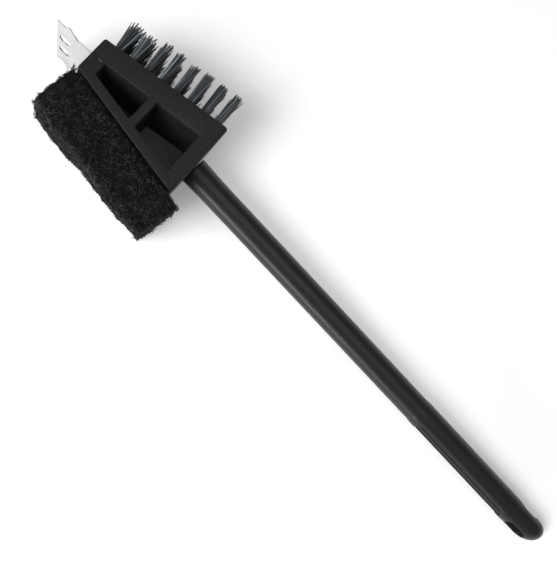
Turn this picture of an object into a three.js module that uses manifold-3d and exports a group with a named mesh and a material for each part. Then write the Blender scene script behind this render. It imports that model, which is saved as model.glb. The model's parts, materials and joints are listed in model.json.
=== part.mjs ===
// Grill cleaning brush: a moulded wedge head with nylon bristles on one face, a scouring pad on the
// other and a steel scraper in its nose, on a long round handle. It lies on its side, as it is put down.
// Millimetres, +Z up, +X along the handle towards its end, +Y towards the bristles.

import * as THREE from 'three';
import { mergeVertices, toCreasedNormals } from 'three/addons/utils/BufferGeometryUtils.js';
import Module from 'manifold-3d';

const wasm = await Module();
wasm.setup();

// ---------- driving dimensions ----------

const fit = 0.3; // clearance between pieces that seat on or in each other
const overcut = 10; // how far a cutting body reaches past what it cuts

// wedge head: heights are measured from the handle axis, at the nose and at the rear face
const headLength = 90;
const headWidth = 60;
const noseTop = 15.5;
const noseBelow = 9.7;
const rearTop = 26.7;
const rearBelow = 27.9;
const headLean = 4.5; // degrees between head and handle
const rearReach = 1.6; // the rear face stands this far behind the flat of the sides
const rearDraft = 0.4; // and its far side this much further back
const rearEdgeRound = 2;
const headCornerRadius = 1.8;
const headEdgeRound = 0.7;

// the two moulded pockets, open on the upper side
const noseWall = 10.3;
const rearWall = 8.7;
const bristleWall = 13;
const padWall = 6.4;
const closedWall = 4;
const ribThickness = 5.3;
const frontPocketLength = 32.9;
const pocketDraft = 1.5;
const pocketCornerRadius = 1.4;

// handle
const handleLength = 344.2;
const handleRadius = 9.1;
const rootRadius = 9.6;
const rootTaper = 20;
const gripRadius = 9.45;
const gripStart = 223.5;
const gripLength = 90;
const swellLength = 6;
const endRoundAbove = 8.2; // length of the end's rounding on the bristle side
const endRoundBelow = 17.2; // and on the pad side
const endTipRise = 2.5;
const tenonRadius = 6;
const tenonLength = 7;

// finger panel sunk into the grip, and the slot for hanging up
const panelMargin = 2;
const panelHeight = 15;
const panelEndLength = 10; // of each half-oval end
const panelDepth = 1;
const panelRibs = 3;
const panelRibWidth = 1.1;
const panelRibSink = 0.35;
const hangSlotLength = 16;
const hangSlotHeight = 8.2;
const hangSlotRise = 1.6; // of its middle above the handle's axis
const hangSlotSetback = 10.6; // from the slot's end to the end of the handle

// pin that locks the tenon in the head
const pinRadius = 1.4;
const pinSetback = 4;
const pinReach = 2;

// scraper
const bladeThickness = 0.8;
const bladeLevel = 3.1; // above the handle axis
const bladeSideWall = 2.4; // left beside the blade's channel on each side of the head
const bladeReach = 26.9;
const bladeSkew = 3.2; // how much shorter the blade is at its far corner
const bladeTipHalfWidth = 32.3;
const bladeNickSetback = 5.3; // setbacks are measured from the tip
const bladeNickHalfWidth = 30.5;
const bladeEarSetback = 9.4;
const bladeEarHalfWidth = 36;
const bladeShoulderSetback = 15.6;
const bladeHoleRadius = 4.7;
const bladeHoleSpacing = 18.8;
const bladeHoleSetback = 6.7;
const tangLength = 8.6;
const tabLength = 3.2;
const tabRecess = 0.5;

// bristles
const tuftColumns = 8;
const tuftRows = 6;
const tuftEdge = 6; // from the outer rows to the sides of the head
const strandsPerTuft = 8;
const strandWidth = 1.15;
const strandTaper = 0.85; // tip width as a share of the foot's
const strandLength = 21;
const strandScatter = 1.6;
const tuftRadius = 1.9;
const tuftSpread = 1.75;
const tuftLean = 6; // degrees back from square to the bristle face
const blockCount = 4;
const blockThickness = 3.2;
const blockSideMargin = 2.4;
const blockFrontMargin = 3.7;
const blockRearMargin = 2.7;

// scouring pad and the hook strip that holds it
const padLength = 104.2;
const padOverhang = 1.2; // ahead of the nose
const padInset = 0.8; // from the sides of the head to the sides of the pad
const padThickness = 31.1;
const padThinningFront = 3; // loss of thickness from the upper side to the lower side
const padThinningRear = 9;
const padInnerRadius = 1.2;
const padOuterRadius = 5;
const padLowerRadius = 9;
const padEndRadius = 2.4;
const stripThickness = 0.9;
const stripMargin = 3.5;

// ---------- materials ----------

const blackPlastic = { color: 0x2b2c2d, roughness: 0.62, metalness: 0 };
const handlePlastic = { color: 0x2a2b2c, roughness: 0.45, metalness: 0 };
const stainlessSteel = { color: 0xd4d5d4, roughness: 0.28, metalness: 1 };
const nylon = { color: 0x454b50, roughness: 0.5, metalness: 0 };
const fibre = { color: 0x1f1f1f, roughness: 0.95, metalness: 0 };
const hookTape = { color: 0x161616, roughness: 0.9, metalness: 0 };

// ---------- helpers ----------

const { degToRad: radians, lerp, smoothstep } = THREE.MathUtils;
const lean = radians(headLean);

function solid(geometry) {
  const bare = geometry.clone();
  bare.deleteAttribute('normal');
  bare.deleteAttribute('uv');
  const merged = mergeVertices(bare, 1e-4);
  const corners = merged.index.array;
  const used = [];
  for (let i = 0; i < corners.length; i += 3) {
    const [a, b, c] = [corners[i], corners[i + 1], corners[i + 2]];
    if (a !== b && b !== c && c !== a) used.push(a, b, c);
  }
  return new wasm.Manifold(new wasm.Mesh({
    numProp: 3,
    vertProperties: new Float32Array(merged.attributes.position.array),
    triVerts: new Uint32Array(used),
  }));
}

function geometryOf(body, creaseDegrees = 30) {
  const { vertProperties, triVerts } = body.getMesh();
  const geometry = new THREE.BufferGeometry();
  geometry.setAttribute('position', new THREE.BufferAttribute(vertProperties, 3));
  geometry.setIndex(new THREE.BufferAttribute(triVerts, 1));
  return toCreasedNormals(geometry, radians(creaseDegrees));
}

function piece(name, geometry, finish) {
  const mesh = new THREE.Mesh(geometry, new THREE.MeshStandardMaterial(finish));
  mesh.name = name;
  return mesh;
}

// a closed outline through the corners, each one rounded by an arc
function roundedOutline(corners, radii, steps = 4) {
  const points = [];
  corners.forEach((corner, i) => {
    const radius = Array.isArray(radii) ? radii[i] : radii;
    const back = corners[(i + corners.length - 1) % corners.length].clone().sub(corner).normalize();
    const ahead = corners[(i + 1) % corners.length].clone().sub(corner).normalize();
    const half = Math.acos(back.dot(ahead)) / 2;
    const centre = back.clone().add(ahead).setLength(radius / Math.sin(half)).add(corner);
    const start = back.setLength(radius / Math.tan(half)).add(corner).sub(centre);
    const end = ahead.setLength(radius / Math.tan(half)).add(corner).sub(centre);
    const sweep = Math.atan2(start.cross(end), start.dot(end));
    for (let k = 0; k <= steps; k++) {
      const angle = start.angle() + (sweep * k) / steps;
      points.push(new THREE.Vector2(Math.cos(angle), Math.sin(angle)).multiplyScalar(radius).add(centre));
    }
  });
  return points;
}

// a closed body through rings of equal count, each counterclockwise about the way the rings advance
function loft(rings) {
  const count = rings[0].length;
  const index = [];
  for (let k = 0; k + 1 < rings.length; k++) {
    for (let i = 0; i < count; i++) {
      const [a, b] = [k * count + i, k * count + ((i + 1) % count)];
      index.push(a, b, b + count, a, b + count, a + count);
    }
  }
  const last = (rings.length - 1) * count;
  for (let i = 1; i + 1 < count; i++) {
    index.push(0, i + 1, i, last, last + i, last + i + 1);
  }
  const places = rings.flat().flatMap((point) => point.toArray());
  const geometry = new THREE.BufferGeometry();
  geometry.setAttribute('position', new THREE.Float32BufferAttribute(places, 3));
  geometry.setIndex(index);
  return geometry;
}

function box(x0, x1, y0, y1, z0, z1) {
  const geometry = new THREE.BoxGeometry(x1 - x0, y1 - y0, z1 - z0);
  return geometry.translate((x0 + x1) / 2, (y0 + y1) / 2, (z0 + z1) / 2);
}

// a round rod along x, from x = 0
function rod(radius, length, sides = 32) {
  const geometry = new THREE.CylinderGeometry(radius, radius, length, sides);
  return geometry.rotateZ(-Math.PI / 2).translate(length / 2, 0, 0);
}

// a slot outline with round or half-oval ends, centred on (x, y) and long in x
function slotOutline(x, y, length, height, endLength = height / 2) {
  const reach = length / 2 - endLength;
  const outline = new THREE.Shape();
  outline.absellipse(x + reach, y, endLength, height / 2, -Math.PI / 2, Math.PI / 2);
  outline.absellipse(x - reach, y, endLength, height / 2, Math.PI / 2, (3 * Math.PI) / 2);
  return outline;
}

// extrudes a flat shape drawn in x and z, between two levels of y
function plate(shape, y0, y1, curveSegments = 6) {
  const geometry = new THREE.ExtrudeGeometry(shape, { depth: y1 - y0, bevelEnabled: false, curveSegments });
  return geometry.rotateX(Math.PI / 2).translate(0, y1, 0);
}

// the same pattern of small departures every time
let seed = 7;
function scatter() {
  seed = (seed * 16807) % 2147483647;
  return seed / 2147483647 - 0.5;
}

// ---------- the two sloping faces of the head ----------

const bristleSlope = Math.atan2(rearTop - noseTop, headLength);
const padSlope = Math.atan2(rearBelow - noseBelow, headLength);
const bristleFaceAt = (x) => rearTop + x * Math.tan(bristleSlope);
const padFaceAt = (x) => -rearBelow - x * Math.tan(padSlope);
const bristleFaceLength = (headLength + rearReach) / Math.cos(bristleSlope);
const bladeHalfWidth = headWidth / 2 - bladeSideWall;
const padWidth = headWidth - 2 * padInset;

// frames whose x runs back along a face and whose y points away from the handle axis or towards it
const bristleFrame = new THREE.Matrix4().makeRotationZ(bristleSlope).setPosition(-headLength, noseTop, 0);
const padFrame = new THREE.Matrix4().makeRotationZ(-padSlope).setPosition(-headLength, -noseBelow, 0);

// ---------- head ----------

function rearFaceAt(z) {
  return rearReach + rearDraft * (0.5 - z / headWidth);
}

// how far a rounding of this radius has drawn a face in, at this depth below the side it runs into
function roundedIn(radius, depth) {
  return depth < radius ? radius - Math.sqrt(radius ** 2 - (radius - depth) ** 2) : 0;
}

function headBlock() {
  const ring = (z) => {
    const depth = headWidth / 2 - Math.abs(z);
    const inset = roundedIn(headEdgeRound, depth);
    const rear = rearFaceAt(z) - roundedIn(rearEdgeRound, depth);
    const corners = [
      new THREE.Vector2(-headLength + inset, -noseBelow + inset),
      new THREE.Vector2(rear, padFaceAt(rear) + inset),
      new THREE.Vector2(rear, bristleFaceAt(rear) - inset),
      new THREE.Vector2(-headLength + inset, noseTop - inset),
    ];
    const outline = roundedOutline(corners, headCornerRadius - inset / 2, 5);
    return outline.map((p) => new THREE.Vector3(p.x, p.y, z));
  };
  const depths = [0, headEdgeRound * 0.3, headEdgeRound, rearEdgeRound * 0.6, rearEdgeRound];
  const levels = depths.map((depth) => headWidth / 2 - depth);
  return loft([...levels.map((z) => -z), ...levels.reverse()].map(ring));
}

function pocket(x0, x1) {
  const ring = (inset, z) => {
    const corners = [
      new THREE.Vector2(x0 + inset, padFaceAt(x0) + padWall + inset),
      new THREE.Vector2(x1 - inset, padFaceAt(x1) + padWall + inset),
      new THREE.Vector2(x1 - inset, bristleFaceAt(x1) - bristleWall - inset),
      new THREE.Vector2(x0 + inset, bristleFaceAt(x0) - bristleWall - inset),
    ];
    return roundedOutline(corners, pocketCornerRadius).map((p) => new THREE.Vector3(p.x, p.y, z));
  };
  const mouth = headWidth / 2;
  const floor = closedWall - headWidth / 2;
  const outward = (-pocketDraft * fit) / (mouth - floor);
  return loft([ring(pocketDraft, floor), ring(outward, mouth + fit)]);
}

// the channel and the two side slots that take the scraper's tang and its tabs
function scraperSeat() {
  const [low, high] = [bladeLevel - bladeThickness / 2 - fit, bladeLevel + bladeThickness / 2 + fit];
  const side = bladeHalfWidth + fit;
  const back = -headLength + tangLength + fit;
  const channel = box(-headLength - overcut, back, low, high, -side, side);
  const tabSlots = box(back - tabLength - 2 * fit, back, low, high, -headWidth, headWidth);
  return solid(channel).add(solid(tabSlots));
}

function bristleSeat() {
  const end = bristleFaceLength - blockRearMargin;
  const halfWidth = headWidth / 2 - blockSideMargin;
  const geometry = box(blockFrontMargin, end, -blockThickness - fit, overcut, -halfWidth, halfWidth);
  return solid(geometry.applyMatrix4(bristleFrame));
}

const pinBottom = padFaceAt(-pinSetback) + fit;
const pinTop = tenonRadius + pinReach;

function pinRod(clearance) {
  const low = clearance > 0 ? pinBottom - overcut : pinBottom;
  const high = pinTop + clearance;
  const geometry = new THREE.CylinderGeometry(pinRadius + clearance, pinRadius + clearance, high - low, 16);
  return geometry.translate(-pinSetback, (low + high) / 2, 0);
}

function headBody() {
  const socketDepth = tenonLength + fit;
  const socket = rod(tenonRadius + fit, socketDepth + overcut).translate(-socketDepth, 0, 0).rotateZ(-lean);
  const frontPocketEnd = -headLength + noseWall + frontPocketLength;
  const body = solid(headBlock())
    .subtract(solid(pocket(-headLength + noseWall, frontPocketEnd)))
    .subtract(solid(pocket(frontPocketEnd + ribThickness, -rearWall)))
    .subtract(scraperSeat())
    .subtract(bristleSeat())
    .subtract(solid(socket))
    .subtract(solid(pinRod(fit)));
  return piece('head_body', geometryOf(body), blackPlastic);
}

// ---------- handle ----------

// the handle's round sections from root to end, each with its place, radius and rise off the axis
function handleSections() {
  const gripEnd = gripStart + gripLength;
  const sections = [{ x: -rootTaper, radius: rootRadius, rise: 0 }];
  const flow = (x0, r0, x1, r1, steps) => {
    for (let k = 0; k <= steps; k++) {
      const t = k / steps;
      sections.push({ x: lerp(x0, x1, t), radius: lerp(r0, r1, smoothstep(t, 0, 1)), rise: 0 });
    }
  };
  flow(0, rootRadius, rootTaper, handleRadius, 4);
  flow(gripStart - swellLength, handleRadius, gripStart, gripRadius, 3);
  flow(gripEnd, gripRadius, gripEnd + swellLength, handleRadius, 3);
  const endSteps = 9;
  for (let k = 0; k <= endSteps; k++) {
    const fromTip = endRoundBelow * (1 - Math.sin((Math.PI / 2) * (k / endSteps)));
    const quarter = (length) => Math.sqrt(1 - Math.max(0, 1 - fromTip / length) ** 2);
    const above = endTipRise + (handleRadius - endTipRise) * quarter(endRoundAbove);
    const below = endTipRise - (handleRadius + endTipRise) * quarter(endRoundBelow);
    sections.push({ x: handleLength - fromTip, radius: (above - below) / 2, rise: (above + below) / 2 });
  }
  return sections;
}

function handleCore() {
  const sides = 36;
  return loft(handleSections().map(({ x, radius, rise }) => {
    const ring = [];
    for (let i = 0; i < sides; i++) {
      const angle = (i * 2 * Math.PI) / sides;
      ring.push(new THREE.Vector3(x, rise + radius * Math.cos(angle), radius * Math.sin(angle)));
    }
    return ring;
  }));
}

// the sunk finger panel on the pad side of the grip, with ribs running along it
function fingerPanel() {
  const middle = gripStart + gripLength / 2;
  const length = gripLength - 2 * panelMargin;
  const start = middle - length / 2;
  const below = -gripRadius - overcut;
  const opening = solid(plate(slotOutline(middle, 0, length, panelHeight, panelEndLength), below, 0));
  const core = (radius) => solid(rod(radius, length + 2 * overcut).translate(start - overcut, 0, 0));
  let ribs = null;
  for (let i = 0; i < panelRibs; i++) {
    const z = ((i + 1) / (panelRibs + 1) - 0.5) * panelHeight;
    const [low, high] = [z - panelRibWidth / 2, z + panelRibWidth / 2];
    const bar = solid(box(start, start + length, below, 0, low, high));
    ribs = ribs ? ribs.add(bar) : bar;
  }
  const ribTops = ribs.intersect(core(gripRadius - panelRibSink));
  return opening.subtract(core(gripRadius - panelDepth)).subtract(ribTops);
}

function handle() {
  const reach = rootRadius + overcut;
  const headSide = box(-rootTaper - overcut, fit, -reach, reach, -reach, reach);
  headSide.rotateY(-Math.atan2(rearDraft, headWidth)).translate(rearFaceAt(0), 0, 0).rotateZ(lean);
  const tenon = rod(tenonRadius, tenonLength + rootTaper).translate(-tenonLength, 0, 0);
  const slotMiddle = handleLength - hangSlotSetback - hangSlotLength / 2;
  const hangSlotShape = slotOutline(slotMiddle, hangSlotRise, hangSlotLength, hangSlotHeight);
  const hangSlot = plate(hangSlotShape, -reach, reach, 8);
  const body = solid(handleCore())
    .subtract(solid(headSide))
    .add(solid(tenon))
    .subtract(fingerPanel())
    .subtract(solid(hangSlot))
    .subtract(solid(pinRod(fit).rotateZ(lean)));
  return piece('handle', geometryOf(body), handlePlastic);
}

function handlePin() {
  return piece('handle_pin', pinRod(0), stainlessSteel);
}

// ---------- scraper ----------

const bladeTip = -headLength - bladeReach;
const bladeSkewAt = (z) => bladeSkew * (0.5 - z / (2 * bladeTipHalfWidth));

// the corners along one side of the blade, from the end of its tang to its tip, with their radii
function bladeSide(side) {
  const back = -headLength + tangLength;
  const tabOut = headWidth / 2 - tabRecess;
  const skewed = (setback, z) => [bladeTip + setback + bladeSkewAt(side * z), z];
  const corners = [
    [[back, tabOut], 0.4],
    [[back - tabLength, tabOut], 0.4],
    [[back - tabLength, bladeHalfWidth], 0.4],
    [skewed(bladeShoulderSetback, bladeHalfWidth), 3],
    [skewed(bladeEarSetback, bladeEarHalfWidth), 0.8],
    [skewed(bladeNickSetback, bladeNickHalfWidth), 2],
    [skewed(0, bladeTipHalfWidth), 0.5],
  ];
  return corners.map(([[x, z], radius]) => ({ place: new THREE.Vector2(x, side * z), radius }));
}

function scraperBlade() {
  const corners = [...bladeSide(1), ...bladeSide(-1).reverse()];
  const radii = corners.map((corner) => corner.radius);
  const outline = new THREE.Shape(roundedOutline(corners.map((corner) => corner.place), radii));
  for (const side of [-1, 1]) {
    const z = (side * bladeHoleSpacing) / 2;
    const hole = new THREE.Path();
    hole.absarc(bladeTip + bladeHoleSetback + bladeSkewAt(z), z, bladeHoleRadius, 0, 2 * Math.PI);
    outline.holes.push(hole);
  }
  const geometry = plate(outline, bladeLevel - bladeThickness / 2, bladeLevel + bladeThickness / 2, 24);
  return piece('scraper_blade', geometryOf(solid(geometry)), stainlessSteel);
}

// ---------- bristles ----------

// one strand: a three-sided rod from its foot to a slightly narrower tip
function strand(foot, tip) {
  const turn = scatter() * Math.PI;
  const ring = (centre, width) => [0, 1, 2].map((k) => {
    const angle = turn - (k * 2 * Math.PI) / 3;
    const reach = width / Math.sqrt(3);
    const [dx, dz] = [reach * Math.cos(angle), reach * Math.sin(angle)];
    return new THREE.Vector3(centre.x + dx, centre.y, centre.z + dz);
  });
  return solid(loft([ring(foot, strandWidth), ring(tip, strandWidth * strandTaper)]));
}

function tuft(x, z) {
  const strands = [];
  const sunk = blockThickness / 2;
  const leanBack = Math.tan(radians(tuftLean));
  for (let i = 0; i < strandsPerTuft; i++) {
    const ringCount = strandsPerTuft - 1;
    const angle = (i * 2 * Math.PI) / ringCount;
    const reach = i === ringCount ? 0 : tuftRadius;
    const length = strandLength + strandScatter * scatter();
    const footX = x + reach * Math.cos(angle);
    const footZ = z + reach * Math.sin(angle);
    const slopeX = ((tuftSpread - 1) * reach * Math.cos(angle)) / strandLength + leanBack;
    const slopeZ = ((tuftSpread - 1) * reach * Math.sin(angle)) / strandLength;
    const foot = new THREE.Vector3(footX - sunk * slopeX, -sunk, footZ - sunk * slopeZ);
    const tip = new THREE.Vector3(footX + length * slopeX, length, footZ + length * slopeZ);
    strands.push(strand(foot, tip));
  }
  return strands;
}

const tuftFieldStart = blockFrontMargin + fit / 2;
const tuftFieldLength = bristleFaceLength - blockRearMargin - fit / 2 - tuftFieldStart;
const tuftPitch = tuftFieldLength / tuftColumns;
const tuftRowPitch = (headWidth - 2 * tuftEdge) / (tuftRows - 1);

function bristleBlock(number) {
  const length = tuftFieldLength / blockCount;
  const start = tuftFieldStart + (number - 1) * length;
  const halfWidth = headWidth / 2 - blockSideMargin - fit;
  const [front, rear] = [start + fit / 2, start + length - fit / 2];
  let body = solid(box(front, rear, -blockThickness, 0, -halfWidth, halfWidth));
  for (let column = 0; column < tuftColumns; column++) {
    const x = tuftFieldStart + (column + 0.5) * tuftPitch;
    if (x < start || x >= start + length) continue;
    for (let row = 0; row < tuftRows; row++) {
      const z = (row - (tuftRows - 1) / 2) * tuftRowPitch;
      for (const one of tuft(x, z)) body = body.add(one);
    }
  }
  const geometry = geometryOf(body).applyMatrix4(bristleFrame);
  return piece(`bristle_block_${number}`, geometry, nylon);
}

// ---------- scouring pad ----------

const padLift = stripThickness + 2 * fit; // from the pad face of the head to the pad

function hookStrip() {
  const end = Math.min(padLength - padOverhang, headLength / Math.cos(padSlope)) - stripMargin;
  const halfWidth = padWidth / 2 - stripMargin;
  const geometry = box(stripMargin, end, -fit - stripThickness, -fit, -halfWidth, halfWidth);
  return piece('pad_hook_strip', geometry.applyMatrix4(padFrame), hookTape);
}

function scouringPad() {
  const section = (x) => {
    const thinning = lerp(padThinningFront, padThinningRear, x / padLength);
    return roundedOutline([
      new THREE.Vector2(0, -padWidth / 2),
      new THREE.Vector2(0, padWidth / 2),
      new THREE.Vector2(-padThickness, padWidth / 2),
      new THREE.Vector2(-padThickness + thinning, -padWidth / 2),
    ], [padInnerRadius, padInnerRadius, padOuterRadius, padLowerRadius]);
  };
  const ring = (x, inset) => section(x).map((p) => {
    const depth = (p.x + padThickness / 2) * (1 - (2 * inset) / padThickness);
    const across = p.y * (1 - (2 * inset) / padWidth);
    return new THREE.Vector3(x - padOverhang, depth - padLift - padThickness / 2, across);
  });
  const endSteps = 3;
  const front = [];
  const rear = [];
  for (let k = 0; k <= endSteps; k++) {
    const turn = (Math.PI / 2) * (k / endSteps);
    const inset = padEndRadius * (1 - Math.sin(turn));
    const x = padEndRadius * (1 - Math.cos(turn));
    front.push(ring(x, inset));
    rear.unshift(ring(padLength - x, inset));
  }
  const geometry = geometryOf(solid(loft([...front, ...rear])));
  return piece('scouring_pad', geometry.applyMatrix4(padFrame), fibre);
}

// ---------- the brush, laid on its side ----------

function layDown(brush) {
  const reach = handleLength - endRoundBelow - rearFaceAt(-headWidth / 2);
  brush.rotation.y = Math.atan2(headWidth / 2 - handleRadius, reach);
  const bounds = new THREE.Box3().setFromObject(brush, true);
  const middle = bounds.getCenter(new THREE.Vector3());
  brush.position.set(-middle.x, -middle.y, -bounds.min.z);
}

const head = new THREE.Group();
head.rotation.z = lean;
head.add(headBody(), handlePin(), scraperBlade(), hookStrip(), scouringPad());
for (let number = 1; number <= blockCount; number++) head.add(bristleBlock(number));

const brush = new THREE.Group();
brush.add(head, handle());
layDown(brush);

const ground = new THREE.Group();
ground.add(brush);

export default ground;
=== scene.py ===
import json
import math
import random

import bpy
from mathutils import Matrix, Vector, noise


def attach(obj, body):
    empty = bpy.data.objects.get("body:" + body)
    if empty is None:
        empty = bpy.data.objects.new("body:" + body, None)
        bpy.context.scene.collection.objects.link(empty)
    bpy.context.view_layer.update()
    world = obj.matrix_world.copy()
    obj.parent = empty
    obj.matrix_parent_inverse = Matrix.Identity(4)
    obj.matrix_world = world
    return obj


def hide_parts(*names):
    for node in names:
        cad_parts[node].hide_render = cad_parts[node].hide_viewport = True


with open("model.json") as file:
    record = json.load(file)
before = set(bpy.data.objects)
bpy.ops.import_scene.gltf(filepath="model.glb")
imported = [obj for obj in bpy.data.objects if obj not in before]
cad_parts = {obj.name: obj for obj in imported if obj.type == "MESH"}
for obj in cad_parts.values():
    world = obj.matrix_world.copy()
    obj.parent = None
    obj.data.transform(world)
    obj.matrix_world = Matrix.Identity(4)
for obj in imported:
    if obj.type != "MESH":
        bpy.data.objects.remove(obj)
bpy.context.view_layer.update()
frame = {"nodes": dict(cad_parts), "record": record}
mm = 0.001
print("frame loaded")

# ---------- how the brush lies ----------

headSizes = {
    "length": 90 * mm,
    "width": 60 * mm,
    "noseTop": 15.5 * mm,  # heights above and below the handle's axis
    "noseBelow": 9.7 * mm,
    "rearTop": 26.7 * mm,
    "rearBelow": 27.9 * mm,
    "lean": math.radians(4.5),  # between the head and the handle
    "rearReach": 1.6 * mm,
    "rearDraft": 0.4 * mm,
    "rearEdge": 2 * mm,
    "cornerRadius": 1.8 * mm,
    "edgeRadius": 0.7 * mm,
    "softRadius": 0.3 * mm,  # of the pockets' and seats' edges
    "noseWall": 10.3 * mm,
    "rearWall": 8.7 * mm,
    "bristleWall": 13 * mm,
    "padWall": 6.4 * mm,
    "closedWall": 4 * mm,
    "rib": 5.3 * mm,
    "frontPocket": 32.9 * mm,
    "draft": 1.5 * mm,
    "pocketRadius": 1.4 * mm,
    "rings": 10,  # in the rounding of each side's edge
}


def bristleFaceAt(x):
    slope = (headSizes["rearTop"] - headSizes["noseTop"]) / headSizes["length"]
    return headSizes["rearTop"] + x * slope


def padFaceAt(x):
    slope = (headSizes["rearBelow"] - headSizes["noseBelow"]) / headSizes["length"]
    return -headSizes["rearBelow"] - x * slope


# the record's mount on the pocket side tells the tilt and the place
pocketSide = next(m for m in frame["record"]["mounts"] if m["name"] == "pocket_side")
mountX = -45 * mm
mountInHead = Vector((mountX, bristleFaceAt(mountX) - headSizes["bristleWall"] / 2, headSizes["width"] / 2))
tiltTurn = Matrix.Rotation(math.asin(pocketSide["axis"][0]), 4, "Y")
leanTurn = Matrix.Rotation(headSizes["lean"], 4, "Z")
brushPlace = Vector(pocketSide["pos_m"]) - tiltTurn @ leanTurn @ mountInHead
brushFrame = Matrix.Translation(brushPlace) @ tiltTurn  # x along the handle, y to the bristles
headFrame = brushFrame @ leanTurn
bristleSlope = math.atan2(headSizes["rearTop"] - headSizes["noseTop"], headSizes["length"])
padSlope = math.atan2(headSizes["rearBelow"] - headSizes["noseBelow"], headSizes["length"])
noseToBristles = Matrix.Translation((-headSizes["length"], headSizes["noseTop"], 0))
noseToPad = Matrix.Translation((-headSizes["length"], -headSizes["noseBelow"], 0))
bristleFrame = headFrame @ noseToBristles @ Matrix.Rotation(bristleSlope, 4, "Z")
padFrame = headFrame @ noseToPad @ Matrix.Rotation(-padSlope, 4, "Z")

# ---------- modelling helpers ----------


def deselectAll():
    if bpy.context.object and bpy.context.object.mode != "OBJECT":
        bpy.ops.object.mode_set(mode="OBJECT")
    bpy.ops.object.select_all(action="DESELECT")


def pick(obj):
    deselectAll()
    bpy.context.view_layer.objects.active = obj
    obj.select_set(True)


def roundedOutline(corners, radii, steps=5):
    points = []
    for i, corner in enumerate(corners):
        corner = Vector(corner)
        radius = radii[i] if isinstance(radii, list) else radii
        back = (Vector(corners[i - 1]) - corner).normalized()
        ahead = (Vector(corners[(i + 1) % len(corners)]) - corner).normalized()
        half = back.angle(ahead) / 2
        centre = corner + (back + ahead).normalized() * radius / math.sin(half)
        start = corner + back * radius / math.tan(half) - centre
        end = corner + ahead * radius / math.tan(half) - centre
        for k in range(steps + 1):
            points.append(centre + start.slerp(end, k / steps) * radius)
    return points


def slotOutline(x, y, length, height, endLength, steps=12):
    points = []
    for side in (1, -1):
        middle = x + side * (length / 2 - endLength)
        for k in range(steps + 1):
            angle = math.pi * (k / steps - 0.5) + (0 if side > 0 else math.pi)
            points.append((middle + endLength * math.cos(angle), y + height / 2 * math.sin(angle)))
    return points


def stackRings(name, rings):
    count = len(rings[0])
    deselectAll()
    bpy.ops.mesh.primitive_circle_add(vertices=count, radius=1, fill_type="NGON")
    obj = bpy.context.object
    obj.name = name
    bpy.ops.object.mode_set(mode="EDIT")
    bpy.ops.mesh.select_all(action="SELECT")
    for _ in rings[1:]:
        bpy.ops.mesh.extrude_region_move(TRANSFORM_OT_translate={"value": (0, 0, 1)})
    bpy.ops.object.mode_set(mode="OBJECT")
    for vertex in obj.data.vertices:  # its height tells its ring, and its angle its place in the ring
        turn = math.atan2(-vertex.co.x, vertex.co.y) / (2 * math.pi)
        vertex.co = rings[round(vertex.co.z)][round(turn * count) % count]
    bpy.ops.object.mode_set(mode="EDIT")
    bpy.ops.mesh.select_all(action="SELECT")
    bpy.ops.mesh.normals_make_consistent(inside=False)
    bpy.ops.object.mode_set(mode="OBJECT")
    return obj


def prism(name, outline, low, high, taper=1.0):
    centre = sum((Vector(point) for point in outline), Vector((0, 0))) / len(outline)
    ends = [[Vector(point).to_3d() for point in outline] for _ in range(2)]
    for point in ends[0]:
        point.z = low
    for point in ends[1]:
        point.xy = centre + (point.xy - centre) * taper
        point.z = high
    return stackRings(name, ends)


def growAlong(name, sides, sections):
    x, radius, rise = sections[0]
    deselectAll()
    bpy.ops.mesh.primitive_circle_add(vertices=sides, radius=radius, fill_type="NGON",
                                      location=(x, rise, 0), rotation=(0, math.pi / 2, 0))
    obj = bpy.context.object
    obj.name = name
    bpy.ops.object.transform_apply(location=True, rotation=True, scale=True)
    bpy.ops.object.mode_set(mode="EDIT")
    bpy.ops.mesh.select_all(action="SELECT")
    for nextX, nextRadius, nextRise in sections[1:]:
        bpy.ops.mesh.extrude_region_move(TRANSFORM_OT_translate={"value": (nextX - x, nextRise - rise, 0)})
        scale = nextRadius / radius
        bpy.ops.transform.resize(value=(1, scale, scale), center_override=(nextX, nextRise, 0))
        x, radius, rise = nextX, nextRadius, nextRise
    bpy.ops.mesh.select_all(action="SELECT")
    bpy.ops.mesh.normals_make_consistent(inside=False)
    bpy.ops.object.mode_set(mode="OBJECT")
    return obj


def addBox(name, low, high):
    deselectAll()
    low, high = Vector(low), Vector(high)
    bpy.ops.mesh.primitive_cube_add(size=1, location=(low + high) / 2, scale=high - low)
    obj = bpy.context.object
    obj.name = name
    bpy.ops.object.transform_apply(location=True, rotation=True, scale=True)
    return obj


def addRod(name, radius, low, high, turn=(0, 0, 0), sides=48):
    deselectAll()
    low, high = Vector(low), Vector(high)
    bpy.ops.mesh.primitive_cylinder_add(vertices=sides, radius=radius, depth=(high - low).length,
                                        location=(low + high) / 2, rotation=turn)
    obj = bpy.context.object
    obj.name = name
    bpy.ops.object.transform_apply(location=True, rotation=True, scale=True)
    return obj


def joinAll(name, objects):
    deselectAll()
    for obj in objects:
        obj.select_set(True)
    bpy.context.view_layer.objects.active = objects[0]
    if len(objects) > 1:
        bpy.ops.object.join()
    joined = bpy.context.object
    joined.name = name
    return joined


def combine(target, other, operation="DIFFERENCE"):
    modifier = target.modifiers.new("combine", "BOOLEAN")
    modifier.operation = operation
    modifier.solver = "MANIFOLD"
    modifier.object = other
    pick(target)
    bpy.ops.object.modifier_apply(modifier=modifier.name)
    bpy.data.objects.remove(other)


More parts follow.
